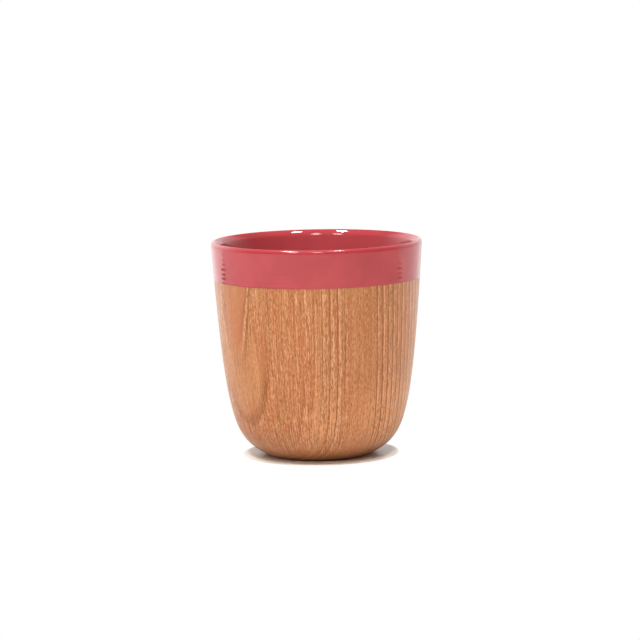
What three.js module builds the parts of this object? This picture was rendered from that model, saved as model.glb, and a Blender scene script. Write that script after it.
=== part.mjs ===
// A turned wooden espresso cup. One piece of wood carries four coats: a sealing undercoat, coloured
// lacquer inside and over the lip, a band of the same lacquer round the top, and a clear coat below it.
// Millimetres, +Z up. The origin is the middle of the foot, on the surface that the cup stands on.

import * as THREE from "three";

// Sizes over the finished lacquer
const rimDiameter = 65;
const cupHeight = 66.25;
const bandDepth = 11.55;

// The lip over its lacquer: its thickness, how far its crest lies in from the outside of the rim,
// and its height on each side
const lipThickness = 2.2;
const crestInset = 0.85;
const lipFallOutside = 1.35;
const lipFallInside = 1.8;

// Inside of the lip: how far it keeps level from the crest, and to the wall's taper where it ends
const easeAtCrest = 0.3;
const easeAtWall = 0.42;

// Outside of the wood: its foot, the slope at which the wall rises from it, and the wall's taper
const footDiameter = 32;
const footRise = THREE.MathUtils.degToRad(29);
const wallTaper = THREE.MathUtils.degToRad(3.745);

// Inside of the wood, where the wall rises out of a level floor
const floorThickness = 5.5;
const floorDiameter = 14;
const floorRise = 0;
const insideTaper = THREE.MathUtils.degToRad(11.5);

// Recess turned into the foot, so that the cup stands on a ring
const recessDiameter = 24;
const recessDepth = 0.8;

// Coats, with the clearance that each keeps from what it lies on or meets
const undercoatThickness = 0.05;
const lacquerThickness = 0.08;
const clearCoatThickness = 0.06;
const bondGap = 0.01;

// Height above the table at which the clear coat stops, so that the standing ring is bare
const bareFootHeight = 0.5;

// Shape of the two wall curves: the share of the wall's drop over which it keeps to its taper,
// and the share of the way in to the foot or floor over which it keeps to its rise
const outsideDrop = 0.898;
const outsideReach = 0.694;
const insideDrop = 0.45;
const insideReach = 0.95;

// Facets
const turnSteps = 48;
const outerLipSteps = 3;
const innerLipSteps = 5;
const bandSteps = 3;
const bellySteps = 9;
const footRollSteps = 2;
const hollowSteps = 9;
const heightSearchSteps = 40;

// Levels above the wood at which each coat begins and ends
const undercoatBase = bondGap;
const undercoatTop = undercoatBase + undercoatThickness;
const lacquerBase = undercoatTop + bondGap;
const lacquerTop = lacquerBase + lacquerThickness;
const clearCoatBase = bondGap;
const clearCoatTop = clearCoatBase + clearCoatThickness;

// The wood's lip, which every coat follows
const lipCrest = new THREE.Vector2(rimDiameter / 2 - crestInset, cupHeight - lacquerTop);
const outerLipWidth = crestInset - lacquerTop;
const innerLipWidth = lipThickness - crestInset - lacquerTop;
const outerLipFall = lipFallOutside - lacquerTop;
const innerLipFall = lipFallInside - lacquerTop;
const bandEdgeHeight = cupHeight - bandDepth;

// A point of the section with the normal that faces away from the wood.
function station(point, normal) {
  return { point, normal };
}

// Stations up the outside of the lip, a quarter of an ellipse that hangs from the crest. They are
// stepped by the angles of their normals, measured from straight out.
function outsideOfLip() {
  return Array.from({ length: outerLipSteps + 1 }, (_, step) => {
    const angle = THREE.MathUtils.lerp(-wallTaper, Math.PI / 2, step / outerLipSteps);
    const normal = new THREE.Vector2(Math.cos(angle), Math.sin(angle));
    const turn = Math.atan2(outerLipFall * normal.y, outerLipWidth * normal.x);
    const out = outerLipWidth * Math.cos(turn);
    const up = outerLipFall * Math.sin(turn) - outerLipFall;
    return station(new THREE.Vector2(out, up).add(lipCrest), normal);
  });
}

// The inside of the lip: it leaves the crest level and eases in to the inner wall.
function insideOfLip() {
  const wallTop = lipCrest.clone().add(new THREE.Vector2(-innerLipWidth, -innerLipFall));
  const upWall = new THREE.Vector2(Math.sin(insideTaper), Math.cos(insideTaper));
  const crestHandle = lipCrest.clone().add(new THREE.Vector2(-easeAtCrest, 0));
  const wallHandle = wallTop.clone().addScaledVector(upWall, easeAtWall);
  return new THREE.CubicBezierCurve(lipCrest, crestHandle, wallHandle, wallTop);
}

// One side of the wall: it leaves the lip along its taper and rolls in to the edge of the foot or
// floor, which it meets at a rise above level.
function wallCurve(lipEdge, taper, dropShare, lowerEdge, rise, reachShare) {
  const drop = (lipEdge.y - lowerEdge.y) * dropShare;
  const reach = (lipEdge.x - lowerEdge.x) * reachShare;
  const downWall = new THREE.Vector2(-Math.sin(taper), -Math.cos(taper));
  const upFromEdge = new THREE.Vector2(Math.cos(rise), Math.sin(rise));
  const upperHandle = lipEdge.clone().addScaledVector(downWall, drop);
  const lowerHandle = lowerEdge.clone().addScaledVector(upFromEdge, reach);
  return new THREE.CubicBezierCurve(lipEdge, upperHandle, lowerHandle, lowerEdge);
}

// Stations along a curve that runs downwards. Side is 1 on the outside and -1 on the inside.
function along(curve, fromShare, toShare, steps, side) {
  return Array.from({ length: steps + 1 }, (_, step) => {
    const share = THREE.MathUtils.lerp(fromShare, toShare, step / steps);
    const tangent = curve.getTangent(share);
    const normal = new THREE.Vector2(-tangent.y, tangent.x).multiplyScalar(side);
    return station(curve.getPoint(share), normal);
  });
}

// The share of a falling curve at which it passes a height, found by halving.
function shareAtHeight(curve, height) {
  let above = 0;
  let below = 1;
  for (let step = 0; step < heightSearchSteps; step += 1) {
    const middle = (above + below) / 2;
    if (curve.getPoint(middle).y > height) {
      above = middle;
    } else {
      below = middle;
    }
  }
  return (above + below) / 2;
}

// Several runs of stations as one, where each run begins at the station that ends the one before.
function joined(...runs) {
  return runs.flatMap((run, index) => (index === 0 ? run : run.slice(1)));
}

// The points that lie a given height above a run of stations.
function raised(run, height) {
  return run.map(({ point, normal }) => point.clone().addScaledVector(normal, height));
}

// The closed outline of a coat between two levels above the wood. A coat that ends on the axis is
// closed by the axis, and any other by its own first point.
function coatOutline(run, base, top) {
  const outline = [...raised(run, base).reverse(), ...raised(run, top)];
  return run.at(-1).point.x === 0 ? outline : [...outline, outline[0].clone()];
}

// A named solid turned about the upright axis from an outline of radius and height.
function turned(name, outline, finish) {
  const geometry = new THREE.LatheGeometry(outline, turnSteps);
  geometry.rotateX(Math.PI / 2);
  const mesh = new THREE.Mesh(geometry, new THREE.MeshStandardMaterial({ metalness: 0, ...finish }));
  mesh.name = name;
  return mesh;
}

// The stations of the wood's section, from the foot up the outside, over the lip and down the inside
const outerLip = outsideOfLip();
const innerLip = along(insideOfLip(), 0, 1, innerLipSteps, -1);
const foot = new THREE.Vector2(footDiameter / 2, 0);
const outside = wallCurve(outerLip[0].point, wallTaper, outsideDrop, foot, footRise, outsideReach);
const floorEdge = new THREE.Vector2(floorDiameter / 2, floorThickness);
const innerEdge = innerLip.at(-1).point;
const inside = wallCurve(innerEdge, insideTaper, insideDrop, floorEdge, floorRise, insideReach);
const coatStop = shareAtHeight(outside, bareFootHeight);
const bandEdge = shareAtHeight(outside, bandEdgeHeight);
const belowBand = shareAtHeight(outside, bandEdgeHeight - bondGap);
const belowLip = shareAtHeight(outside, outerLip[0].point.y - bondGap);
const footRoll = along(outside, 1, coatStop, footRollSteps, 1);
const belly = along(outside, coatStop, bandEdge, bellySteps, 1);
const bandWall = along(outside, bandEdge, 0, bandSteps, 1);
const hollow = along(inside, 0, 1, hollowSteps, -1);
const floorMiddle = station(new THREE.Vector2(0, floorThickness), new THREE.Vector2(0, 1));
const floor = [hollow.at(-1), floorMiddle];

// The wood, with its recess under the foot.
function woodBody() {
  const recessRadius = recessDiameter / 2;
  const underside = [
    new THREE.Vector2(0, recessDepth),
    new THREE.Vector2(recessRadius - recessDepth, recessDepth),
    new THREE.Vector2(recessRadius, 0),
  ];
  const shell = raised(joined(footRoll, belly, bandWall, outerLip, innerLip, hollow, floor), 0);
  return turned("wood_body", [...underside, ...shell], { color: 0xcb8a60, roughness: 0.45 });
}

// The coat that fills the pores under all of the coloured lacquer.
function undercoat() {
  const run = joined(bandWall, outerLip, innerLip, hollow, floor);
  const outline = coatOutline(run, undercoatBase, undercoatTop);
  return turned("undercoat", outline, { color: 0x9a4a48, roughness: 0.7 });
}

// Coloured lacquer on the floor, up the inside and over the lip.
function lacquerLining() {
  const run = joined(outerLip, innerLip, hollow, floor);
  const outline = coatOutline(run, lacquerBase, lacquerTop);
  return turned("lacquer_lining", outline, { color: 0xc5495a, roughness: 0.12 });
}

// Coloured lacquer round the outside, from the lip to the band's lower edge.
function lacquerBand() {
  const run = along(outside, bandEdge, belowLip, bandSteps, 1);
  const outline = coatOutline(run, lacquerBase, lacquerTop);
  return turned("lacquer_band", outline, { color: 0xc5495a, roughness: 0.12 });
}

// Clear lacquer on the bare wood, from the standing ring up to the band.
function clearCoat() {
  const run = along(outside, coatStop, belowBand, bellySteps, 1);
  const outline = coatOutline(run, clearCoatBase, clearCoatTop);
  return turned("clear_coat", outline, { color: 0xf3e2cf, roughness: 0.2, transparent: true, opacity: 0.2 });
}

const cup = new THREE.Group();
cup.add(woodBody(), undercoat(), lacquerLining(), lacquerBand(), clearCoat());

export default cup;
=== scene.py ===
"""Dress a turned wooden espresso cup and set it on its stage.

The packed model is the frame. Fine surfaces of revolution stand for its solids: the wood with its
clear coat, the pore filler, the lacquer lining and the lacquer band. Sizes are in metres, with +Z up
and the origin in the middle of the foot. Materials measure their place in millimetres.
"""

import math

import bpy
import numpy as np
from mathutils import Matrix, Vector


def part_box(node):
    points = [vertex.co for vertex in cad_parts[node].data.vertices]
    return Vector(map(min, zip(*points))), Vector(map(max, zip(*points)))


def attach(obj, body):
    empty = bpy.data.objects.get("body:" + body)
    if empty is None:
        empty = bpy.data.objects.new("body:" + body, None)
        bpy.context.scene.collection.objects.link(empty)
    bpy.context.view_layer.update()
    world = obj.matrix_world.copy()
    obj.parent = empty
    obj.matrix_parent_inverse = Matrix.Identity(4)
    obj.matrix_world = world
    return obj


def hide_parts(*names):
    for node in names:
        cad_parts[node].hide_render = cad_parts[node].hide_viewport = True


bl_info = {
    "name": "Turned Espresso Cup",
    "version": (1, 0, 0),
    "blender": (4, 5, 0),
    "location": "3D View > Sidebar > Cup",
    "description": "Turns a wooden espresso cup, lacquers it and sets it on a pale stage",
    "category": "Add Mesh",
}

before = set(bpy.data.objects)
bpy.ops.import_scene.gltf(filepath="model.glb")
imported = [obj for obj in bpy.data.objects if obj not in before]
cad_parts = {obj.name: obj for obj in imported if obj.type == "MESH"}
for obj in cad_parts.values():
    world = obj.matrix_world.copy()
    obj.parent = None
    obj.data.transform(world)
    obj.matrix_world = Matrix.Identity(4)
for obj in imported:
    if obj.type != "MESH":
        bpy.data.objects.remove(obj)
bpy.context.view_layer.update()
_, lining_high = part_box("lacquer_lining")
band_low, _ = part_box("lacquer_band")

MILLIMETRE = 0.001


# Sizes, colours and stage settings


def number(name, description, default, **kind):
    """A number that a user can change, with a unit or subtype where one fits."""
    return bpy.props.FloatProperty(name=name, description=description, default=default, **kind)


def size(name, description, metres):
    """A length that a user can change."""
    return number(name, description, metres, unit="LENGTH")


def angle(name, description, degrees):
    """An angle that a user can change, with its default in degrees."""
    return number(name, description, math.radians(degrees), subtype="ANGLE")


def factor(name, description, share):
    """A share that a user can change."""
    return number(name, description, share, subtype="FACTOR")


def power(name, description, watts):
    """A lamp's power that a user can change."""
    return number(name, description, watts, unit="POWER")


def hue(name, description, colour):
    """A colour that a user can change, as linear values."""
    kind = {"subtype": "COLOR", "size": 3}
    return bpy.props.FloatVectorProperty(name=name, description=description, default=colour, **kind)


def group(name, kind):
    """A group of settings, described as its class is."""
    return bpy.props.PointerProperty(name=name, description=kind.__doc__, type=kind)


class CupSizes(bpy.types.PropertyGroup):
    """Real sizes of the cup, over its finished coats where they can be seen."""

    rim_diameter: size("Rim diameter", "Width of the cup over the lacquer at the lip", 2 * lining_high.x)
    cup_height: size("Height", "Height from the table to the crest of the lip", lining_high.z)
    band_edge: size("Band edge", "Height of the lower edge of the lacquer band", band_low.z)
    lip_thickness: size("Lip thickness", "Thickness of the wall below the lip, over its lacquer", 0.0022)
    crest_inset: size("Crest inset", "How far the lip's crest lies in from the outside of the rim", 0.00085)
    lip_fall_outside: size("Lip fall outside", "Height of the lip's rounding on the outside", 0.00135)
    lip_fall_inside: size("Lip fall inside", "Height of the lip's easing on the inside", 0.0018)
    ease_at_crest: size("Ease at crest", "How far the lip's inside keeps level from the crest", 0.0003)
    ease_at_wall: size("Ease at wall", "How far the lip's inside keeps to the inner wall's taper", 0.00042)
    foot_diameter: size("Foot diameter", "Outer diameter of the standing ring", 0.032)
    foot_rise: angle("Foot rise", "Slope at which the belly rises from the edge of the foot", 29.0)
    wall_taper: angle("Wall taper", "Lean of the outer wall where it leaves the lip", 3.745)
    outside_drop: factor("Outside drop", "Share of the outer wall's drop that keeps to its taper", 0.898)
    outside_reach: factor("Outside reach", "Share of the way in to the foot that keeps to its rise", 0.694)
    floor_thickness: size("Floor thickness", "Height of the wood's inner floor above the table", 0.0055)
    floor_diameter: size("Floor diameter", "Diameter of the level middle of the inner floor", 0.014)
    inside_taper: angle("Inside taper", "Lean of the inner wall where it leaves the lip", 11.5)
    inside_drop: factor("Inside drop", "Share of the inner wall's drop that keeps to its taper", 0.45)
    inside_reach: factor("Inside reach", "Share of the way in to the floor that keeps level", 0.95)
    recess_diameter: size("Recess diameter", "Diameter of the recess turned into the foot", 0.024)
    recess_depth: size("Recess depth", "Depth of the recess turned into the foot", 0.0008)
    undercoat: size("Pore filler", "Thickness of the pore filler under the coloured lacquer", 0.00005)
    lacquer: size("Lacquer", "Thickness of the coloured lacquer", 0.00008)
    clear_coat: size("Clear coat", "Thickness of the clear coat on the wood", 0.00006)
    bond_gap: size("Bond gap", "Clearance between a coat and what it lies on or meets", 0.00001)
    bare_foot: size("Bare foot", "Height at which the clear coat stops above the table", 0.0005)
    ripple_pitch: size("Ripple pitch", "Mean spacing of the turning ripples under the band", 0.00148)
    ripple_height: size("Ripple height", "Height of the turning ripples under the band", 0.0000042)
    edge_bead: size("Edge bead", "Extra lacquer that gathered at the band's lower edge", 0.00002)


class CupColours(bpy.types.PropertyGroup):
    """Colours of the wood and the coats, as linear values."""

    pore: hue("Pore", "Open pores in the wood", (0.30, 0.085, 0.014))
    late_wood: hue("Late wood", "Dense reddish wood that ends a year's ring", (0.53, 0.176, 0.055))
    early_wood: hue("Early wood", "Lighter wood that begins a year's ring", (0.55, 0.224, 0.076))
    pale_streak: hue("Pale streak", "Fine pale fibres along the grain", (0.80, 0.42, 0.22))
    lacquer: hue("Lacquer", "Rose-red lacquer", (0.53, 0.062, 0.072))
    undercoat: hue("Pore filler", "Matt brown-red filler under the lacquer", (0.32, 0.07, 0.065))
    floor: hue("Stage floor", "Pale floor that the cup stands on", (0.89, 0.795, 0.685))


class CupGrain(bpy.types.PropertyGroup):
    """How the cup lay in the log, in millimetres as the wood's material measures them."""

    pith_bearing: angle("Pith bearing", "Direction of the log's middle, from the front to the right", -52.0)
    pith_distance: number("Pith distance", "Distance of the log's middle from the cup's axis", 600.0)
    ring_width: number("Ring width", "Mean width of a year's ring", 2.13)
    ring_start: number("Ring start", "Distance from the axis to the ring edge nearest the pith", 28.33)
    lean: number("Grain lean", "How far the log's axis leans for each millimetre of height", 0.05)


class CupStage(bpy.types.PropertyGroup):
    """Camera, light and floor."""

    camera_distance: size("Camera distance", "Level distance of the camera from the cup's axis", 0.8904)
    camera_height: size("Camera height", "Height of the camera above the table", 0.1581)
    camera_pitch: angle("Camera pitch", "How far the camera looks down", 7.478)
    camera_roll: angle("Camera roll", "How far the camera is turned about its own axis", -1.014)
    camera_yaw: angle("Camera yaw", "How far the camera looks to the right of the cup's axis", 0.045)
    camera_lens: number("Camera lens", "Focal length, in millimetres", 163.6)
    camera_sensor: number("Camera sensor", "Width of the sensor, in millimetres", 36.0)
    lamp_distance: size("Lamp distance", "Distance of the two overhead lamps from the cup", 1.2)
    lamp_width: size("Lamp width", "Width of each overhead lamp", 0.18)
    left_power: power("Left lamp", "Power of the left overhead lamp", 9.15)
    right_power: power("Right lamp", "Power of the right overhead lamp", 4.9)
    room_strength: number("Room light", "Mean brightness of the room round and above the cup", 0.11)
    room_bias: factor("Room bias", "Share by which the room is brighter at the front left", 0.8)
    table_strength: number("Table light", "Brightness of the table beyond the stage floor", 0.95)
    sweep_strength: number("Backdrop light", "Brightness of the white backdrop behind the cup", 1.52)
    floor_radius: size("Floor radius", "Radius of the stage floor", 0.25)


class CupSettings(bpy.types.PropertyGroup):
    """All settings of the cup and its stage."""

    sizes: group("Sizes", CupSizes)
    colours: group("Colours", CupColours)
    grain: group("Grain", CupGrain)
    stage: group("Stage", CupStage)


# The cup's section


class Run:
    """A stretch of the section: points of radius and height, with normals that face away from the wood."""

    def __init__(self, points, normals):
        self.points = points
        self.normals = normals

    def raised(self, level):
        """The points moved along their normals by a level, or by one level for each point."""
        return self.points + self.normals * np.reshape(level, (-1, 1))

    def reversed(self):
        """The same stretch, run the other way."""
        return Run(self.points[::-1], self.normals[::-1])

    def at(self, heights):
        """An upward run at given heights, with its points and normals taken between its own."""
        own_heights = self.points[:, 1]
        radii = np.interp(heights, own_heights, self.points[:, 0])
        normals = np.stack([np.interp(heights, own_heights, part) for part in self.normals.T], axis=1)
        lengths = np.linalg.norm(normals, axis=1, keepdims=True)
        return Run(np.stack([radii, heights], axis=1), normals / lengths)

    def between(self, low, high):
        """The points of an upward run that lie between two heights, with points set at the heights."""
        heights = self.points[:, 1]
        inner = heights[(heights > low) & (heights < high)]
        return self.at(np.concatenate([[low], inner, [high]]))


def joined(*runs):
    """Several runs as one, where each begins at the point that ends the one before."""
    first, *others = runs
    points = np.concatenate([first.points, *(run.points[1:] for run in others)])
    normals = np.concatenate([first.normals, *(run.normals[1:] for run in others)])
    return Run(points, normals)


def lip_run(crest, width, fall, from_angle, to_angle, steps):
    """One side of the lip: a quarter of an ellipse that hangs from the crest, centre + (width cos t,
    fall sin t). It is stepped by the angle a of its normal (cos a, sin a), so tan t = fall / width tan a."""
    angles = np.linspace(from_angle, to_angle, steps + 1)
    normals = np.stack([np.cos(angles), np.sin(angles)], axis=1)
    turn = np.arctan2(fall * normals[:, 1], width * normals[:, 0])
    centre = np.array([crest[0], crest[1] - fall])
    return Run(centre + np.stack([width * np.cos(turn), fall * np.sin(turn)], axis=1), normals)


def wall_run(lip_edge, taper, drop, lower_edge, rise, reach, steps, side):
    """One side of the wall, downwards: a cubic Bezier curve that leaves the lip along its taper and meets
    the foot or floor at a rise above level. Side is 1 outside and -1 inside, and turns the normals."""
    start = np.array(lip_edge)
    end = np.array(lower_edge)
    down_wall = np.array([-math.sin(taper), -math.cos(taper)])
    up_from_edge = np.array([math.cos(rise), math.sin(rise)])
    first = start + down_wall * drop * (start[1] - end[1])
    second = end + up_from_edge * reach * (start[0] - end[0])
    return bezier_run(start, first, second, end, steps, side)


def easing_run(crest, width, fall, taper, at_crest, at_wall, steps):
    """The inside of the lip, downwards: a cubic Bezier curve that leaves the crest level and meets the
    inner wall along its taper."""
    start = np.array(crest)
    end = start - np.array([width, fall])
    first = start - np.array([at_crest, 0.0])
    second = end + at_wall * np.array([math.sin(taper), math.cos(taper)])
    return bezier_run(start, first, second, end, steps, -1)


def bezier_run(start, first, second, end, steps, side):
    """A cubic Bezier curve: with s the share of the way and r = 1 - s, each point is
    r^3 start + 3 r^2 s first + 3 r s^2 second + s^3 end. Its normals are its tangents turned by a
    quarter, to the left where side is 1 and to the right where it is -1."""
    share = np.linspace(0.0, 1.0, steps + 1)[:, None]
    rest = 1.0 - share
    points = rest**3 * start + 3 * rest**2 * share * first + 3 * rest * share**2 * second + share**3 * end
    slopes = rest**2 * (first - start) + 2 * rest * share * (second - first) + share**2 * (end - second)
    tangents = slopes / np.linalg.norm(slopes, axis=1, keepdims=True)
    normals = side * np.stack([-tangents[:, 1], tangents[:, 0]], axis=1)
    return Run(points, normals)


class Section:
    """The cup's section at its real size, with the levels of its coats above the wood."""

    WALL_STEPS = 360
    LIP_STEPS = 18
    HOLLOW_STEPS = 72
    FLOOR_STEPS = 10

    def __init__(self, sizes):
        self.filler_base = sizes.bond_gap
        self.filler_top = self.filler_base + sizes.undercoat
        self.lacquer_base = self.filler_top + sizes.bond_gap
        self.lacquer_top = self.lacquer_base + sizes.lacquer
        self.clear_top = sizes.bond_gap + sizes.clear_coat
        outer_width = sizes.crest_inset - self.lacquer_top
        inner_width = sizes.lip_thickness - sizes.crest_inset - self.lacquer_top
        outer_fall = sizes.lip_fall_outside - self.lacquer_top
        inner_fall = sizes.lip_fall_inside - self.lacquer_top
        crest = (sizes.rim_diameter / 2 - sizes.crest_inset, sizes.cup_height - self.lacquer_top)
        up = math.pi / 2
        outer_lip = lip_run(crest, outer_width, outer_fall, -sizes.wall_taper, up, self.LIP_STEPS)
        easing = (sizes.inside_taper, sizes.ease_at_crest, sizes.ease_at_wall)
        inner_lip = easing_run(crest, inner_width, inner_fall, *easing, self.LIP_STEPS)
        from_lip = (outer_lip.points[0], sizes.wall_taper, sizes.outside_drop)
        to_foot = ((sizes.foot_diameter / 2, 0.0), sizes.foot_rise, sizes.outside_reach)
        self.outside = wall_run(*from_lip, *to_foot, self.WALL_STEPS, 1).reversed()
        from_easing = (inner_lip.points[-1], sizes.inside_taper, sizes.inside_drop)
        floor_edge = (sizes.floor_diameter / 2, sizes.floor_thickness)
        hollow = wall_run(*from_easing, floor_edge, 0.0, sizes.inside_reach, self.HOLLOW_STEPS, -1)
        radii = np.linspace(floor_edge[0], 0.0, self.FLOOR_STEPS + 1)
        level = np.full_like(radii, sizes.floor_thickness)
        upward = np.stack([np.zeros_like(radii), np.ones_like(radii)], axis=1)
        floor = Run(np.stack([radii, level], axis=1), upward)
        self.lip_edge = outer_lip.points[0][1]
        self.over_lip = joined(outer_lip, inner_lip, hollow, floor)

    def wall(self, low, high, steps):
        """The outer wall between two heights, upwards, with even steps of height."""
        return self.outside.at(np.linspace(low, high, steps + 1))


TURN_STEPS = 192
SHARP_ANGLE = math.radians(25)


def placed(name, data):
    """A new object in the scene, with its data."""
    thing = bpy.data.objects.new(name, data)
    bpy.context.scene.collection.objects.link(thing)
    return thing


def lathe(name, profile, closed):
    """Turn a section about the upright axis.

    Vertex (i, j) has the profile's radius r_i and height z_i at the angle a_j = 2 pi j / steps, so it
    lies at (r_i sin a_j, -r_i cos a_j, z_i). A profile runs up the outside and down the inside. It
    either closes on itself, or begins and ends on the axis, where each end is one vertex.
    """
    angles = np.linspace(0.0, 2 * math.pi, TURN_STEPS, endpoint=False)
    rows = profile if closed else profile[1:-1]
    radius = rows[:, :1]
    heights = np.repeat(rows[:, 1:], TURN_STEPS, axis=1)
    grid = np.stack([radius * np.sin(angles), -radius * np.cos(angles), heights], axis=-1)
    vertices = grid.reshape(-1, 3)
    row_count = len(rows)
    row = np.arange(row_count if closed else row_count - 1)[:, None]
    lower = row * TURN_STEPS
    upper = (row + 1) % row_count * TURN_STEPS
    turn = np.arange(TURN_STEPS)
    onward = (turn + 1) % TURN_STEPS
    corners = [lower + turn, lower + onward, upper + onward, upper + turn]
    faces = np.stack(corners, axis=-1).reshape(-1, 4).tolist()
    if not closed:
        first_pole = len(vertices)
        poles = [[0.0, 0.0, profile[0][1]], [0.0, 0.0, profile[-1][1]]]
        vertices = np.concatenate([vertices, poles])
        last_row = (row_count - 1) * TURN_STEPS
        first_fan = [np.full_like(turn, first_pole), onward, turn]
        last_fan = [np.full_like(turn, first_pole + 1), last_row + turn, last_row + onward]
        faces += np.stack(first_fan, axis=-1).tolist() + np.stack(last_fan, axis=-1).tolist()
    mesh = bpy.data.meshes.new(name)
    mesh.from_pydata(vertices.tolist(), [], faces)
    mesh.polygons.foreach_set("use_smooth", np.ones(len(mesh.polygons), dtype=bool))
    mesh.set_sharp_from_angle(angle=SHARP_ANGLE)
    mesh.update()
    return placed(name, mesh)


def film(run, base, top):
    """The outline of a coat between two levels above a run of the section."""
    return np.concatenate([run.reversed().raised(base), run.raised(top)])


def mount_piece(piece, material, slot, *nodes):
    """Give a piece its material and its body, and hide the solids that it stands for. Its slot is not used.
    """
    piece.data.materials.append(material)
    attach(piece, "root")
    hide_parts(*nodes)


# Shader expressions


class Value:
    """One output of a shader tree. Arithmetic on values adds Math nodes."""

    def __init__(self, shader, socket):
        self.shader = shader
        self.socket = socket

    def _math(self, operation, first, second):
        return self.shader.node("ShaderNodeMath", {"operation": operation}, {0: first, 1: second})

    def __add__(self, other):
        return self._math("ADD", self, other)

    def __radd__(self, other):
        return self._math("ADD", other, self)

    def __sub__(self, other):
        return self._math("SUBTRACT", self, other)

    def __rsub__(self, other):
        return self._math("SUBTRACT", other, self)

    def __mul__(self, other):
        return self._math("MULTIPLY", self, other)

    def __rmul__(self, other):
        return self._math("MULTIPLY", other, self)

    def __truediv__(self, other):
        return self._math("DIVIDE", self, other)

    def __rtruediv__(self, other):
        return self._math("DIVIDE", other, self)


class Shader:
    """A node tree under construction, for a material or the world."""

    # How far from a pore's middle it ends and is open in full, in pore widths
    PORE_EDGE = (0.44, 0.24)

    def __init__(self, tree):
        self.tree = tree
        tree.nodes.clear()

    def node(self, kind, settings, sockets, output=0):
        """Add a node of one type: its settings first, then the values or links of its sockets."""
        node = self.tree.nodes.new(kind)
        for key, value in settings.items():
            setattr(node, key, value)
        for key, value in sockets.items():
            if isinstance(value, Value):
                self.tree.links.new(value.socket, node.inputs[key])
            else:
                node.inputs[key].default_value = value
        return Value(self, node.outputs[output]) if node.outputs else None

    def object_position(self):
        """The place on the piece, in millimetres."""
        metres = self.node("ShaderNodeTexCoord", {}, {}, "Object")
        return self.vector("MULTIPLY", metres, (1.0 / MILLIMETRE,) * 3)

    def vector(self, operation, first, second=(0.0, 0.0, 0.0)):
        """Vector Math on one or two vectors."""
        return self.node("ShaderNodeVectorMath", {"operation": operation}, {0: first, 1: second})

    def length(self, vector):
        """A vector's length as a value."""
        return self.node("ShaderNodeVectorMath", {"operation": "LENGTH"}, {0: vector}, "Value")

    def axes(self, vector):
        """The three parts of a vector as values."""
        first = self.node("ShaderNodeSeparateXYZ", {}, {0: vector})
        return [Value(self, socket) for socket in first.socket.node.outputs]

    def off(self, value, middle):
        """How far a value lies from a middle, on either side."""
        return self.node("ShaderNodeMath", {"operation": "ABSOLUTE"}, {0: value - middle})

    def step(self, value, low, high):
        """A smooth step that is 0 at low and 1 at high. Low may lie above high."""
        sockets = {"Value": value, "From Min": low, "From Max": high}
        return self.node("ShaderNodeMapRange", {"interpolation_type": "SMOOTHSTEP"}, sockets)

    def marks(self, measures, places):
        """For each place, the product of smooth steps of its measures: 1 where all show in full."""
        return {
            mark: math.prod(self.step(measures[name], *ends) for name, *ends in steps)
            for mark, steps in places.items()
        }

    def noise(self, vector, detail):
        """Noise about 0.5 whose lumps are about one unit wide."""
        return self.node("ShaderNodeTexNoise", {}, {"Vector": vector, "Scale": 1.0, "Detail": detail})

    def stretched(self, vector, width, length):
        """A place measured in units that are one width across the grain and one length along it."""
        return self.vector("MULTIPLY", vector, (1.0 / width, 1.0 / width, 1.0 / length))

    def pores(self, vector, width, length):
        """Long pores about one width apart: 1 inside a pore and 0 outside."""
        sockets = {"Vector": self.stretched(vector, width, length), "Scale": 1.0}
        distance = self.node("ShaderNodeTexVoronoi", {}, sockets, "Distance")
        return self.step(distance, *self.PORE_EDGE)

    def combine(self, x, y, z):
        """A vector from its three parts."""
        return self.node("ShaderNodeCombineXYZ", {}, {"X": x, "Y": y, "Z": z})

    def mix(self, amount, first, second):
        """A colour between two colours."""
        sockets = {0: amount, 6: first, 7: second}
        return self.node("ShaderNodeMix", {"data_type": "RGBA"}, sockets, 2)


WHITE = (1.0, 1.0, 1.0, 1.0)


def material_shader(name):
    """A new material and the shader that fills it."""
    material = bpy.data.materials.new(name)
    material.use_nodes = True
    return material, Shader(material.node_tree)


def opaque(colour):
    """A colour with full alpha, as colour sockets take it."""
    return (*colour, 1.0)


def tinted(colour, shares):
    """A colour multiplied by a share, or by one share for each part, with full alpha."""
    return opaque(np.minimum(1.0, np.array(colour) * shares))


def total(marks, weights):
    """The sum of the marks that are named, each multiplied by its weight."""
    return sum(marks[name] * weight for name, weight in weights.items())


def surface(shader, sockets):
    """End a material with one Principled surface."""
    principled = shader.node("ShaderNodeBsdfPrincipled", {}, sockets)
    shader.node("ShaderNodeOutputMaterial", {}, {"Surface": principled})


# Materials


# Wood: millimetres or years at which its figure changes
CUT_ACROSS = (15.0, 29.0)
STRIPE_MIDDLE = -7.0
LINE_YEAR = 0.0
ARCH_YEAR = 1.05

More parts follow.
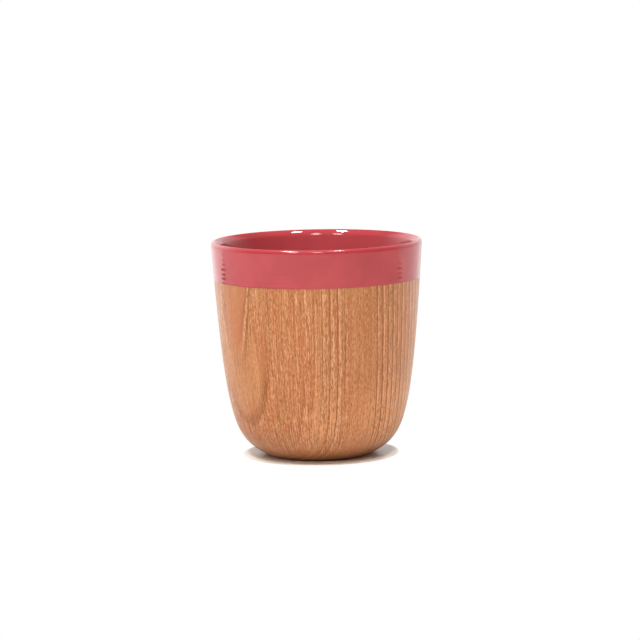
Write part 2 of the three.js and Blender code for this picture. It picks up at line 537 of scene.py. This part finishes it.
# Where each mark lies, as steps of a measure from where it doesn't show to where it shows in full. x, y,
# z, from_stripe and along_rings, from the axis towards the front right, are in millimetres. Age, from
# the ring edge nearest the pith, from_line and from_arch are in years, in_year is the share of a year,
# and dashes is noise.
WOOD_PLACES = {
    "across": (("along_rings", *CUT_ACROSS),),
    "end_grain": (("z", 5.0, 1.0),),
    # The foot mark is painted shade: it darkens the wood towards the table.
    "foot": (("z", 13.0, 2.0),),
    "low_down": (("z", 32.0, 12.0),),
    # Low on the right, right_side also paints light: it makes the wood paler there, besides clearing its
    # year lines.
    "right_side": (("x", 5.0, 20.0), ("z", 2.0, 6.0), ("z", 30.0, 16.0)),
    "stripe": (("from_stripe", 4.0, 1.0), ("y", 5.0, -5.0)),
    "first": (("age", 0.12, -0.08),),
    "hollow": (("age", 1.1, 0.8), ("along_rings", 17.0, 8.0), ("z", 46.0, 30.0)),
    # Reddish wood low at the front left, darkened there as painted shade.
    "reddish_and_shaded": (("age", 4.6, 2.6), ("z", 16.0, 3.0)),
    # Pale years low in the middle: partly paler wood, partly painted light on the lower belly.
    "pale_years_and_light": (("age", 4.0, 5.4), ("age", 9.4, 7.4), ("z", 6.0, 13.0), ("z", 30.0, 12.0)),
    "marked": (("age", 6.6, 6.9), ("age", 9.2, 8.8)),
    "close": (("age", 9.2, 9.8), ("age", 13.9, 13.5)),
    "strong": (("along_rings", *CUT_ACROSS), ("age", 11.0, 14.0)),
    "outer": (("age", 17.6, 18.6),),
    "dense": (("in_year", 0.60, 0.85),),
    "dark_line": (("in_year", 0.0, 0.04), ("in_year", 0.24, 0.12)),
    "pale_line": (("in_year", 0.22, 0.32), ("in_year", 0.56, 0.44)),
    "left_line": (("along_rings", -2.0, 5.0), ("z", 20.0, 40.0)),
    "line_middle": (("from_line", 0.035, 0.015), ("dashes", 0.4, 0.6)),
    "line_edges": (("from_line", 0.02, 0.05), ("from_line", 0.12, 0.07)),
    "arch": (("from_arch", 0.3, 0.05), ("along_rings", -11.0, -4.0), ("along_rings", 16.0, 6.0)),
}

# Width and length of the lumps of noise, in millimetres, and how far they push the grain
WANDER = (20.0, 60.0)
WANDER_REACH = 1.2
WAVER = (3.0, 14.0)
WAVER_REACH = 0.8
WAVER_LOSS_ACROSS = 0.5
BROAD = (2.6, 30.0)
PORES = (0.62, 4.0)
BARREL_RADIUS = 30.0

# Fine streaks: width and length in millimetres, detail, weight, and what low and close wood add to it
STREAKS = {
    "dashes": ((0.25, 1.1), 2.0, 0.8, -0.05, 0.3),
    "fibres": ((0.25, 7.0), 2.0, 0.5, 0.0, -0.3),
    "threads": ((0.26, 40.0), 1.0, 0.4, 0.1, -0.2),
}
STREAK_EDGE = 0.24
STREAK_STRENGTH = 1.1
STREAK_GAIN_LOW = 0.25

# The share of the streaks that each kind of wood takes away
CALM = {"dense": 0.3, "close": 0.4, "outer": 0.35, "first": 0.7, "hollow": 0.45, "end_grain": 0.9}

# How clearly the lines between years show, by where they lie
LINES = {"across": 0.5, "strong": 0.55, "right_side": 0.35, "end_grain": 0.45, "marked": 0.5}
LINE_FAINT = 0.1
LINE_CHANCE = 0.5
LINE_LOSS_CLOSE = 0.8

# What makes the wood light in tone, with painted shade that takes tone away low at the front left, and the
# tones at which it is late wood and early wood
TONE = {"chance": 0.3, "broad": 1.0, "fibres": 0.3, "dense": -0.15, "reddish_and_shaded": -0.3}
TONE_ENDS = (0.55, 0.95)

# How strongly each mark shows in the colour
# The pale years are partly paler wood and partly painted light low in the middle; right_side is painted
# light, paler wood low on the right.
PALE_AND_LIT = {"pale_years_and_light": 0.8, "right_side": 0.85}
RUDDY = {"stripe": 0.4}
LIGHT = {"pale_streak": 0.9, "pale_line": 0.6, "line_middle": 0.9}
# The reddish mark also darkens the wood low at the front left, as painted shade.
DARK = {"dark_streak": 0.9, "pores": 0.3, "dark_line": 0.9, "line_edges": 0.5, "arch": 0.45, "reddish_and_shaded": 0.15}
# Painted shade: the wood is darkened towards the foot.
FOOT_SHADE = {"foot": 0.4}

# Shares of early wood's colour in the paler wood and painted light, and of late wood's in the ruddy stripe
# and in the painted shade towards the foot
PALE_AND_LIT_TINT = (1.30, 1.38, 1.60)
RUDDY_TINT = (1.0, 0.9, 0.84)
FOOT_SHADE_TINT = (0.42, 0.62, 0.9)

# Roughness, what dark marks add to it, and how high the streaks are beside them
WOOD_ROUGHNESS = 0.33
DARK_ROUGHNESS = 0.2
STREAK_RELIEF = 0.5


class Hardwood:
    """The wood's figure, with some painted light and shade, as marks that are 1 where they show in full and
    0 where they don't.

    The log's rings cross the cup. Its face is cut along them at the front left, where they draw an
    arch under a line, and across them at the right, where each year begins with a dark line and a
    pale one beside it. Close, even years lie between.
    """

    def __init__(self, shader, grain):
        self.shader = shader
        place = shader.object_position()
        x, y, z = shader.axes(place)
        to_pith = (math.sin(grain.pith_bearing), -math.cos(grain.pith_bearing))
        along_rings = y * to_pith[0] - x * to_pith[1]
        swing = self.swing(place, along_rings)
        wavy = shader.vector("ADD", place, swing)
        age = self.count_years(place, wavy, z, to_pith, grain)
        year = shader.node("ShaderNodeMath", {"operation": "FLOOR"}, {0: age})
        self.marks = {
            "chance": shader.node("ShaderNodeTexWhiteNoise", {"noise_dimensions": "1D"}, {"W": year}),
            "broad": shader.noise(shader.stretched(place, *BROAD), 2.0),
        }
        drawn = self.drawn(place, swing)
        for name, (lump, detail, *_) in STREAKS.items():
            self.marks[name] = shader.noise(shader.stretched(drawn, *lump), detail)
        measures = {
            "dashes": self.marks["dashes"],
            "from_stripe": shader.off(x, STRIPE_MIDDLE),
            "from_line": shader.off(age, LINE_YEAR),
            "from_arch": shader.off(age, ARCH_YEAR),
        }
        measures |= {"x": x, "y": y, "z": z, "along_rings": along_rings, "age": age, "in_year": age - year}
        self.marks |= shader.marks(measures, WOOD_PLACES)
        self.draw_streaks(wavy)
        self.draw_lines()

    def swing(self, place, along_rings):
        """How far the grain wavers sideways, round the axis. It wavers less where it is cut across."""
        shader = self.shader
        noise = shader.noise(shader.stretched(place, *WAVER), 1.0)
        across = shader.step(along_rings, *CUT_ACROSS)
        waver = (noise - 0.5) * (WAVER_REACH - across * WAVER_LOSS_ACROSS)
        sideways = shader.vector("NORMALIZE", shader.vector("CROSS_PRODUCT", (0.0, 0.0, 1.0), place))
        return shader.vector("MULTIPLY", sideways, shader.combine(waver, waver, 0.0))

    def drawn(self, place, swing):
        """The place carried out to a barrel of one radius, so that streaks keep their width to the foot."""
        shader = self.shader
        outwards = shader.vector("NORMALIZE", shader.vector("MULTIPLY", place, (1.0, 1.0, 0.0)))
        barrel = shader.vector("MULTIPLY", outwards, (BARREL_RADIUS, BARREL_RADIUS, 0.0))
        upright = shader.vector("MULTIPLY", place, (0.0, 0.0, 1.0))
        return shader.vector("ADD", shader.vector("ADD", barrel, upright), swing)

    def count_years(self, place, wavy, z, to_pith, grain):
        """Years of growth outwards from the ring edge nearest the pith, with a slow wander of the rings."""
        shader = self.shader
        pith = tuple(part * grain.pith_distance for part in to_pith)
        level = shader.vector("MULTIPLY", wavy, (1.0, 1.0, 0.0))
        radius = shader.length(shader.vector("SUBTRACT", level, (*pith, 0.0)))
        wander = shader.noise(shader.stretched(place, *WANDER), 1.0) - 0.5
        first_edge = grain.pith_distance - grain.ring_start
        return (radius - first_edge + z * grain.lean + wander * WANDER_REACH) / grain.ring_width

    def draw_streaks(self, wavy):
        """Draw dark and pale streaks where their noise, which spreads about 0, falls and rises, and pores
        among them. They fade where the wood is calm, and pores alone are left in the end grain."""
        marks = self.marks
        self.spread = 0.0
        for name, (_, _, weight, low_gain, close_gain) in STREAKS.items():
            share = marks["low_down"] * low_gain + marks["close"] * close_gain + weight
            self.spread = (marks[name] - 0.5) * share + self.spread
        strength = marks["low_down"] * STREAK_GAIN_LOW + STREAK_STRENGTH
        for name, loss in CALM.items():
            strength = strength * (1.0 - marks[name] * loss)
        marks["dark_streak"] = self.shader.step(self.spread, 0.0, -STREAK_EDGE) * strength
        marks["pale_streak"] = self.shader.step(self.spread, 0.0, STREAK_EDGE) * strength
        marks["pores"] = self.shader.pores(wavy, *PORES) * (strength + marks["end_grain"])

    def draw_lines(self):
        """Let the lines between years show by where they lie, some clearer by chance, and end the line at
        the left, pale and dashed between dark edges, where it runs out."""
        marks = self.marks
        luck = marks["chance"] * LINE_CHANCE + (1.0 - LINE_CHANCE)
        open_wood = 1.0 - marks["close"] * LINE_LOSS_CLOSE
        shown = luck * open_wood * (total(marks, LINES) + LINE_FAINT)
        for name in ("dark_line", "pale_line"):
            marks[name] = marks[name] * shown
        for name in ("line_middle", "line_edges"):
            marks[name] = marks[name] * marks["left_line"]


def wood_material(colours, grain):
    """Hardwood under a clear coat: late and early wood by tone, with painted shade low at the front left,
    brighter and ruddier in places, partly as painted light, then lightened and darkened by its figure, with
    painted shade towards the foot. Dark marks are rougher and deeper."""
    material, shader = material_shader("turned_hardwood")
    figure = Hardwood(shader, grain)
    marks = figure.marks
    tone = shader.step(total(marks, TONE), *TONE_ENDS)
    wood = shader.mix(tone, opaque(colours.late_wood), opaque(colours.early_wood))
    # Paler wood and painted light low in the middle and on the right.
    pale_and_lit_colour = tinted(colours.early_wood, PALE_AND_LIT_TINT)
    pale_and_lit_wood = shader.mix(total(marks, PALE_AND_LIT), wood, pale_and_lit_colour)
    ruddy = tinted(colours.late_wood, RUDDY_TINT)
    banded = shader.mix(total(marks, RUDDY), pale_and_lit_wood, ruddy)
    lightened = shader.mix(total(marks, LIGHT), banded, opaque(colours.pale_streak))
    dark = total(marks, DARK)
    grained = shader.mix(dark, lightened, opaque(colours.pore))
    # Painted shade towards the foot: late wood made darker and duller.
    foot_shade_colour = tinted(colours.late_wood, FOOT_SHADE_TINT)
    height = figure.spread * STREAK_RELIEF - dark
    relief = {"Strength": 0.25, "Distance": 0.04 * MILLIMETRE, "Height": height}
    surface(
        shader,
        {
            "Base Color": shader.mix(total(marks, FOOT_SHADE), grained, foot_shade_colour),
            "Roughness": dark * DARK_ROUGHNESS + WOOD_ROUGHNESS,
            "Normal": shader.node("ShaderNodeBump", {}, relief),
            "Coat Weight": 0.12,
            "Coat Roughness": 0.15,
        },
    )
    return material


# Lacquer: where it differs, as steps of a measure in millimetres, like the wood's
OUTER_HALF = ("from_crest", -0.15, 0.25)
LACQUER_PLACES = {
    # Inside the cup the lacquer is darkened, as painted shade.
    "painted_shade_inside": (("from_inner_edge", 0.7, -0.3),),
    "satin": (("from_inner_edge", 0.3, -0.3),),
    "lip": (OUTER_HALF, ("above_lip_foot", -0.3, 0.2)),
    # On the roll of the lip the lacquer is darkened, as painted shade.
    "roll": (OUTER_HALF, ("above_lip_foot", 0.0, 0.3), ("above_top", -0.3, -0.65)),
}

# Its clouds and its skin, in lumps of noise in each millimetre, and the edge of the clouds
CLOUDS = (0.12, 0.12, 0.12)
SKIN = (0.7, 0.7, 0.9)
CLOUD_EDGE = (0.3, 0.7)

# Shares of its colour in the clouds, in the painted shade inside the cup and in the painted shade on the
# roll of the lip
CLOUD_TINT = 0.88
INSIDE_SHADE_TINT = 0.8
ROLL_SHADE_TINT = (0.85, 0.68, 0.74)

# How strongly the painted shade inside the cup shows, how rough the lacquer is, and what adds to that
INSIDE_SHADE = {"painted_shade_inside": 0.55}
LACQUER_ROUGHNESS = 0.025
SOFTENED = {"clouds": 0.02, "satin": 0.17, "lip": 0.1}


def lacquer_material(colours, sizes):
    """Glossy lacquer: nearly even colour with faint clouds, and a skin that is not quite level. It is
    painted darker inside the cup and on the roll of the lip, as painted shade, and is satin inside and
    softer outside the lip."""
    rim = sizes.rim_diameter / 2 / MILLIMETRE
    top = sizes.cup_height / MILLIMETRE
    material, shader = material_shader("rose_lacquer")
    place = shader.object_position()
    _, _, z = shader.axes(place)
    radius = shader.length(shader.vector("MULTIPLY", place, (1.0, 1.0, 0.0)))
    measures = {
        "from_inner_edge": radius - (rim - sizes.lip_thickness / MILLIMETRE),
        "from_crest": radius - (rim - sizes.crest_inset / MILLIMETRE),
        "above_lip_foot": z - (top - sizes.lip_fall_outside / MILLIMETRE),
        "above_top": z - top,
    }
    marks = shader.marks(measures, LACQUER_PLACES)
    marks["clouds"] = shader.noise(shader.vector("MULTIPLY", place, CLOUDS), 2.0)
    skin = shader.noise(shader.vector("MULTIPLY", place, SKIN), 1.0)
    clear = shader.step(marks["clouds"], *CLOUD_EDGE)
    even = shader.mix(clear, tinted(colours.lacquer, CLOUD_TINT), opaque(colours.lacquer))
    # Painted shade: the lacquer is darkened inside the cup.
    lined = shader.mix(total(marks, INSIDE_SHADE), even, tinted(colours.lacquer, INSIDE_SHADE_TINT))
    relief = {"Strength": 0.1, "Distance": 0.02 * MILLIMETRE, "Height": skin}
    surface(
        shader,
        {
            # Painted shade on the roll of the lip.
            "Base Color": shader.mix(marks["roll"], lined, tinted(colours.lacquer, ROLL_SHADE_TINT)),
            "Roughness": total(marks, SOFTENED) + LACQUER_ROUGHNESS,
            "Normal": shader.node("ShaderNodeBump", {}, relief),
            "Specular IOR Level": 0.55,
        },
    )
    return material


# Pore filler: lumps in each millimetre, their edge, their share of its colour, and its roughness
SPECKLE = (2.5, 2.5, 2.5)
SPECKLE_EDGE = (0.35, 0.65)
SPECKLE_TINT = 0.8
FILLER_ROUGHNESS = 0.6
SPECKLE_ROUGHNESS = 0.2


def filler_material(colours):
    """Matt pore filler with a fine grain."""
    material, shader = material_shader("pore_filler")
    place = shader.object_position()
    speckle = shader.noise(shader.vector("MULTIPLY", place, SPECKLE), 2.0)
    darker = tinted(colours.undercoat, SPECKLE_TINT)
    colour = shader.mix(shader.step(speckle, *SPECKLE_EDGE), darker, opaque(colours.undercoat))
    roughness = speckle * SPECKLE_ROUGHNESS + FILLER_ROUGHNESS
    surface(shader, {"Base Color": colour, "Roughness": roughness})
    return material


# Floor, in millimetres: the middle of the shadow, how far from it the floor turns white, and where painted
# light runs from darkest to palest from left to right, with the shares of its colour there
SHADOW_MIDDLE = (0.35, -0.3, 0.0)
SHADOW_EDGE = (23.4, 24.4)
FLOOR_LIGHT_ENDS = (-24.0, 24.0)
LEFT_SHADE_TINT = 0.96
RIGHT_LIGHT_TINT = 1.1


def floor_material(colours):
    """Pale satin floor, painted a little darker to the left and paler to the right, as painted light that
    evens its shadow. Away from the cup it turns to plain white for the eye, so that the backdrop has no
    horizon, while the floor under the cup keeps its shadow."""
    material, shader = material_shader("pale_floor")
    place = shader.object_position()
    x, _, _ = shader.axes(place)
    away = shader.length(shader.vector("SUBTRACT", place, SHADOW_MIDDLE))
    far = shader.step(away, *SHADOW_EDGE)
    ray = shader.node("ShaderNodeLightPath", {}, {}, "Is Camera Ray")
    # Painted light: the floor is darker to the left and paler to the right, evening its shadow.
    dull = tinted(colours.floor, LEFT_SHADE_TINT)
    colour = shader.mix(shader.step(x, *FLOOR_LIGHT_ENDS), dull, tinted(colours.floor, RIGHT_LIGHT_TINT))
    satin = {"Base Color": colour, "Roughness": 0.3, "IOR": 1.45}
    lit = shader.node("ShaderNodeBsdfPrincipled", {}, satin)
    white = shader.node("ShaderNodeEmission", {}, {"Color": WHITE, "Strength": 1.0})
    mixed = shader.node("ShaderNodeMixShader", {}, {0: far * ray, 1: lit, 2: white})
    shader.node("ShaderNodeOutputMaterial", {}, {"Surface": mixed})
    return material


# Operators, one for each piece and one for the stage


class CUP_OT_turn_wood(bpy.types.Operator):
    """Turn the wood, with its clear coat and the recess under its foot"""

    bl_idname = "cup.turn_wood"
    bl_label = "Turn wood"

    RECESS_STEPS = 6

    def execute(self, context):
        settings = context.scene.espresso_cup
        sizes = settings.sizes
        section = Section(sizes)
        recess = sizes.recess_diameter / 2
        depth = sizes.recess_depth
        middle = np.linspace(0.0, recess - depth, self.RECESS_STEPS + 1)
        underside = np.stack([middle, np.full_like(middle, depth)], axis=1)
        ring = np.array([[recess, 0.0]])
        roll = section.outside.between(0.0, sizes.bare_foot)
        coated = section.outside.between(sizes.bare_foot, sizes.band_edge - sizes.bond_gap)
        rise = np.clip((coated.points[:, 1] - sizes.bare_foot) / sizes.bare_foot, 0.0, 1.0)
        band = section.outside.between(sizes.band_edge - sizes.bond_gap, section.lip_edge)
        covered = joined(band, section.over_lip)
        clear = coated.raised(rise * section.clear_top)
        profile = np.concatenate([underside, ring, roll.points[:-1], clear, covered.points])
        piece = lathe("turned_wood", profile, closed=False)
        material = wood_material(settings.colours, settings.grain)
        mount_piece(piece, material, "turned_wood", "wood_body", "clear_coat")
        return {"FINISHED"}


class CUP_OT_fill_pores(bpy.types.Operator):
    """Lay the pore filler on the wood, under all of the coloured lacquer"""

    bl_idname = "cup.fill_pores"
    bl_label = "Fill pores"

    BAND_STEPS = 12

    def execute(self, context):
        settings = context.scene.espresso_cup
        section = Section(settings.sizes)
        band = section.wall(settings.sizes.band_edge, section.lip_edge, self.BAND_STEPS)
        outline = film(joined(band, section.over_lip), section.filler_base, section.filler_top)
        piece = lathe("pore_filler", outline, closed=False)
        mount_piece(piece, filler_material(settings.colours), "sealing_undercoat", "undercoat")
        return {"FINISHED"}


class CUP_OT_line_inside(bpy.types.Operator):
    """Lacquer the floor, the inside and the lip"""

    bl_idname = "cup.line_inside"
    bl_label = "Line inside"

    def execute(self, context):
        settings = context.scene.espresso_cup
        section = Section(settings.sizes)
        outline = film(section.over_lip, section.lacquer_base, section.lacquer_top)
        piece = lathe("lining_lacquer", outline, closed=False)
        material = lacquer_material(settings.colours, settings.sizes)
        mount_piece(piece, material, "coloured_lacquer", "lacquer_lining")
        return {"FINISHED"}


class CUP_OT_paint_band(bpy.types.Operator):
    """Lacquer the band round the outside, down to its masked edge"""

    bl_idname = "cup.paint_band"
    bl_label = "Paint band"

    FACE_STEPS = 120
    BACK_STEPS = 12
    EDGE_STEPS = 10
    BEAD_WIDTH = 0.45 * MILLIMETRE

    # The second ripple: its share of the first one's height, its rate beside the first and its start
    BEAT_SHARE = 0.6
    BEAT_RATE = 0.62
    BEAT_START = 1.0

    # Shares of the way up the band between which the ripples sink, and their heights there
    SWELL_ENDS = (11 / 24, 17 / 24)
    SWELL = (1.0, 0.4)

    def execute(self, context):
        settings = context.scene.espresso_cup
        sizes = settings.sizes
        section = Section(sizes)
        top_edge = section.lip_edge - sizes.bond_gap
        face = section.wall(sizes.band_edge, top_edge, self.FACE_STEPS)
        back = section.wall(sizes.band_edge, top_edge, self.BACK_STEPS)
        rise = face.points[:, 1] - sizes.band_edge
        wave = 2 * math.pi * rise / sizes.ripple_pitch
        beat = self.BEAT_SHARE * np.sin(self.BEAT_RATE * wave + self.BEAT_START)
        ripple = sizes.ripple_height * (np.sin(wave) + beat)
        swell = np.interp(rise / (top_edge - sizes.band_edge), self.SWELL_ENDS, self.SWELL)
        fade = swell * np.clip((top_edge - face.points[:, 1]) / sizes.ripple_pitch, 0.0, 1.0)
        bead = sizes.edge_bead * np.exp(-((rise - self.BEAD_WIDTH) / self.BEAD_WIDTH) ** 2)
        levels = section.lacquer_top + ripple * fade + bead
        half = (levels[0] - section.lacquer_base) / 2
        angles = np.linspace(math.pi, 2 * math.pi, self.EDGE_STEPS + 1)[1:-1]
        normal = face.normals[0]
        upward = np.array([-normal[1], normal[0]])
        middle = face.points[0] + normal * (section.lacquer_base + half)
        edge = middle + half * (np.cos(angles)[:, None] * normal + np.sin(angles)[:, None] * upward)
        profile = np.concatenate([back.reversed().raised(section.lacquer_base), edge, face.raised(levels)])
        piece = lathe("band_lacquer", profile, closed=True)
        mount_piece(piece, lacquer_material(settings.colours, sizes), "coloured_lacquer", "lacquer_band")
        return {"FINISHED"}


class CUP_OT_set_stage(bpy.types.Operator):
    """Set the floor, the lamps, the room light and the camera"""

    bl_idname = "cup.set_stage"
    bl_label = "Set stage"

    FLOOR_SIDES = 96

    # How far the camera sees, in metres
    SIGHT = 10.0

    # Directions from the cup to its lamps
    LAMPS = (("left_lamp", (-0.321, -0.255, 0.912)), ("right_lamp", (0.250, -0.303, 0.919)))

    # The room's dull side, and how much darker its table and backdrop are at the right
    DULL_SIDE = (0.84, 0.54)
    RIGHT_SHADE = 0.19

    # Parts of the room, with bearings in degrees from straight behind: below the horizon, the backdrop
    # there, its wings above, and its middle, which is dimmer by a share
    PLACES = {
        "below": (("z", 0.01, -0.01),),
        "sweep": (("bearing", -58.0, -50.0), ("bearing", 82.0, 74.0)),
        "wings": (("from_middle", 105.0, 45.0), ("z", 0.66, 0.42)),
        "middle": (("from_middle", 26.0, 12.0),),
    }
    DIM_SHARE = 0.26

    # Panes of the two windows: their directions and brightness, and the edge of each
    WINDOWS = (
        ((0.0, -0.829, 0.559), 9.0),
        ((0.0, -0.743, 0.669), 9.0),
        ((0.0, -0.643, 0.766), 9.0),
        ((-0.400, -0.693, 0.600), 11.0),
        ((-0.354, -0.612, 0.707), 11.0),
    )
    PANE_EDGE = (0.9955, 0.9978)

    # Dark gaps: bearing and half width in degrees, and top; the softness of their edges and their depth
    GAPS = ((-52.4, 6.0, -0.170), (74.8, 4.5, -0.196))
    GAP_SIDE = 2.0
    GAP_TOP = 0.006
    GAP_DEPTH = 0.95

    def execute(self, context):
        settings = context.scene.espresso_cup
        self.lay_floor(settings)
        self.hang_lamps(settings.stage)
        self.light_room(context.scene, settings.stage)
        self.place_camera(context.scene, settings.stage)
        context.scene.view_settings.view_transform = "Standard"
        return {"FINISHED"}

    def lay_floor(self, settings):
        """A level disc: its corner j lies at radius (sin a_j, -cos a_j)."""
        angles = np.linspace(0.0, 2 * math.pi, self.FLOOR_SIDES, endpoint=False)
        ring = np.stack([np.sin(angles), -np.cos(angles), np.zeros_like(angles)], axis=1)
        mesh = bpy.data.meshes.new("stage_floor")
        corners = (ring * settings.stage.floor_radius).tolist()
        mesh.from_pydata(corners, [], [list(range(self.FLOOR_SIDES))])
        mesh.materials.append(floor_material(settings.colours))
        floor = placed("stage_floor", mesh)

    def hang_lamps(self, stage):
        """Two small lamps overhead, a little in front of the cup, that look at it."""
        for (name, direction), watts in zip(self.LAMPS, (stage.left_power, stage.right_power)):
            light = bpy.data.lights.new(name, "AREA")
            light.shape = "DISK"
            light.size = stage.lamp_width
            light.energy = watts
            lamp = placed(name, light)
            away = np.array(direction) / np.linalg.norm(direction)
            lamp.location = away * stage.lamp_distance
            lamp.rotation_euler = (math.acos(away[2]), 0.0, math.atan2(away[1], away[0]) + math.pi / 2)

    def light_room(self, scene, stage):
        """A dim room, brighter at the front left, with two windows of several panes, a pale table, and a
        white backdrop behind the cup with a dark gap at each edge. The eye sees plain white."""
        world = bpy.data.worlds.new("studio")
        world.use_nodes = True
        scene.world = world
        shader = Shader(world.node_tree)
        direction = shader.node("ShaderNodeTexCoord", {}, {}, "Generated")
        x, y, z = shader.axes(direction)
        bearing = shader.node("ShaderNodeMath", {"operation": "ARCTAN2"}, {0: x, 1: y}) * (180.0 / math.pi)
        dull = x * self.DULL_SIDE[0] + y * self.DULL_SIDE[1]
        room = (1.0 - dull * stage.room_bias) * stage.room_strength
        shade = 1.0 - x * self.RIGHT_SHADE
        measures = {"z": z, "bearing": bearing, "from_middle": shader.off(bearing, 0.0)}
        marks = shader.marks(measures, self.PLACES)
        around = room + (shade * stage.table_strength - room) * marks["below"]
        sweep = marks["sweep"] * marks["below"] + marks["wings"] * (1.0 - marks["below"])
        backdrop = shade * (1.0 - marks["middle"] * self.DIM_SHARE) * stage.sweep_strength
        strength = around + (backdrop - around) * sweep
        for window, glow in self.WINDOWS:
            sockets = {0: direction, 1: window}
            facing = shader.node("ShaderNodeVectorMath", {"operation": "DOT_PRODUCT"}, sockets, "Value")
            strength = strength + shader.step(facing, *self.PANE_EDGE) * glow
        for gap_bearing, half_width, top in self.GAPS:
            width = shader.step(shader.off(bearing, gap_bearing), half_width, half_width - self.GAP_SIDE)
            gap = width * shader.step(z, top, top - self.GAP_TOP)
            strength = strength * (1.0 - gap * self.GAP_DEPTH)
        ray = shader.node("ShaderNodeLightPath", {}, {}, "Is Camera Ray")
        seen = ray + strength * (1.0 - ray)
        background = shader.node("ShaderNodeBackground", {}, {"Color": WHITE, "Strength": seen})
        shader.node("ShaderNodeOutputWorld", {}, {"Surface": background})

    def place_camera(self, scene, stage):
        """The photograph's camera: in front of the cup, looking slightly down, rolled a little."""
        camera = bpy.data.cameras.new("photo_camera")
        camera.sensor_width = stage.camera_sensor
        camera.lens = stage.camera_lens
        camera.clip_end = self.SIGHT
        eye = placed("photo_camera", camera)
        place = Matrix.Translation((0.0, -stage.camera_distance, stage.camera_height))
        bearing = Matrix.Rotation(-stage.camera_yaw, 4, "Z")
        tilt = Matrix.Rotation(math.pi / 2 - stage.camera_pitch, 4, "X")
        roll = Matrix.Rotation(stage.camera_roll, 4, "Z")
        eye.matrix_world = place @ bearing @ tilt @ roll
        scene.camera = eye


class CUP_PT_workshop(bpy.types.Panel):
    """Lists the cup's pieces and its stage in the sidebar"""

    bl_idname = "CUP_PT_workshop"
    bl_label = "Espresso cup"
    bl_space_type = "VIEW_3D"
    bl_region_type = "UI"
    bl_category = "Cup"

    def draw(self, context):
        for operator in OPERATORS:
            self.layout.operator(operator.bl_idname)


OPERATORS = (CUP_OT_turn_wood, CUP_OT_fill_pores, CUP_OT_line_inside, CUP_OT_paint_band, CUP_OT_set_stage)
CLASSES = (CupSizes, CupColours, CupGrain, CupStage, CupSettings, *OPERATORS, CUP_PT_workshop)


def register():
    for each in CLASSES:
        bpy.utils.register_class(each)
    bpy.types.Scene.espresso_cup = group("Espresso cup", CupSettings)


def unregister():
    del bpy.types.Scene.espresso_cup
    for each in reversed(CLASSES):
        bpy.utils.unregister_class(each)


def main():
    """Make every piece and the stage."""
    register()
    bpy.ops.cup.turn_wood()
    bpy.ops.cup.fill_pores()
    bpy.ops.cup.line_inside()
    bpy.ops.cup.paint_band()
    bpy.ops.cup.set_stage()


if __name__ == "__main__":
    main()
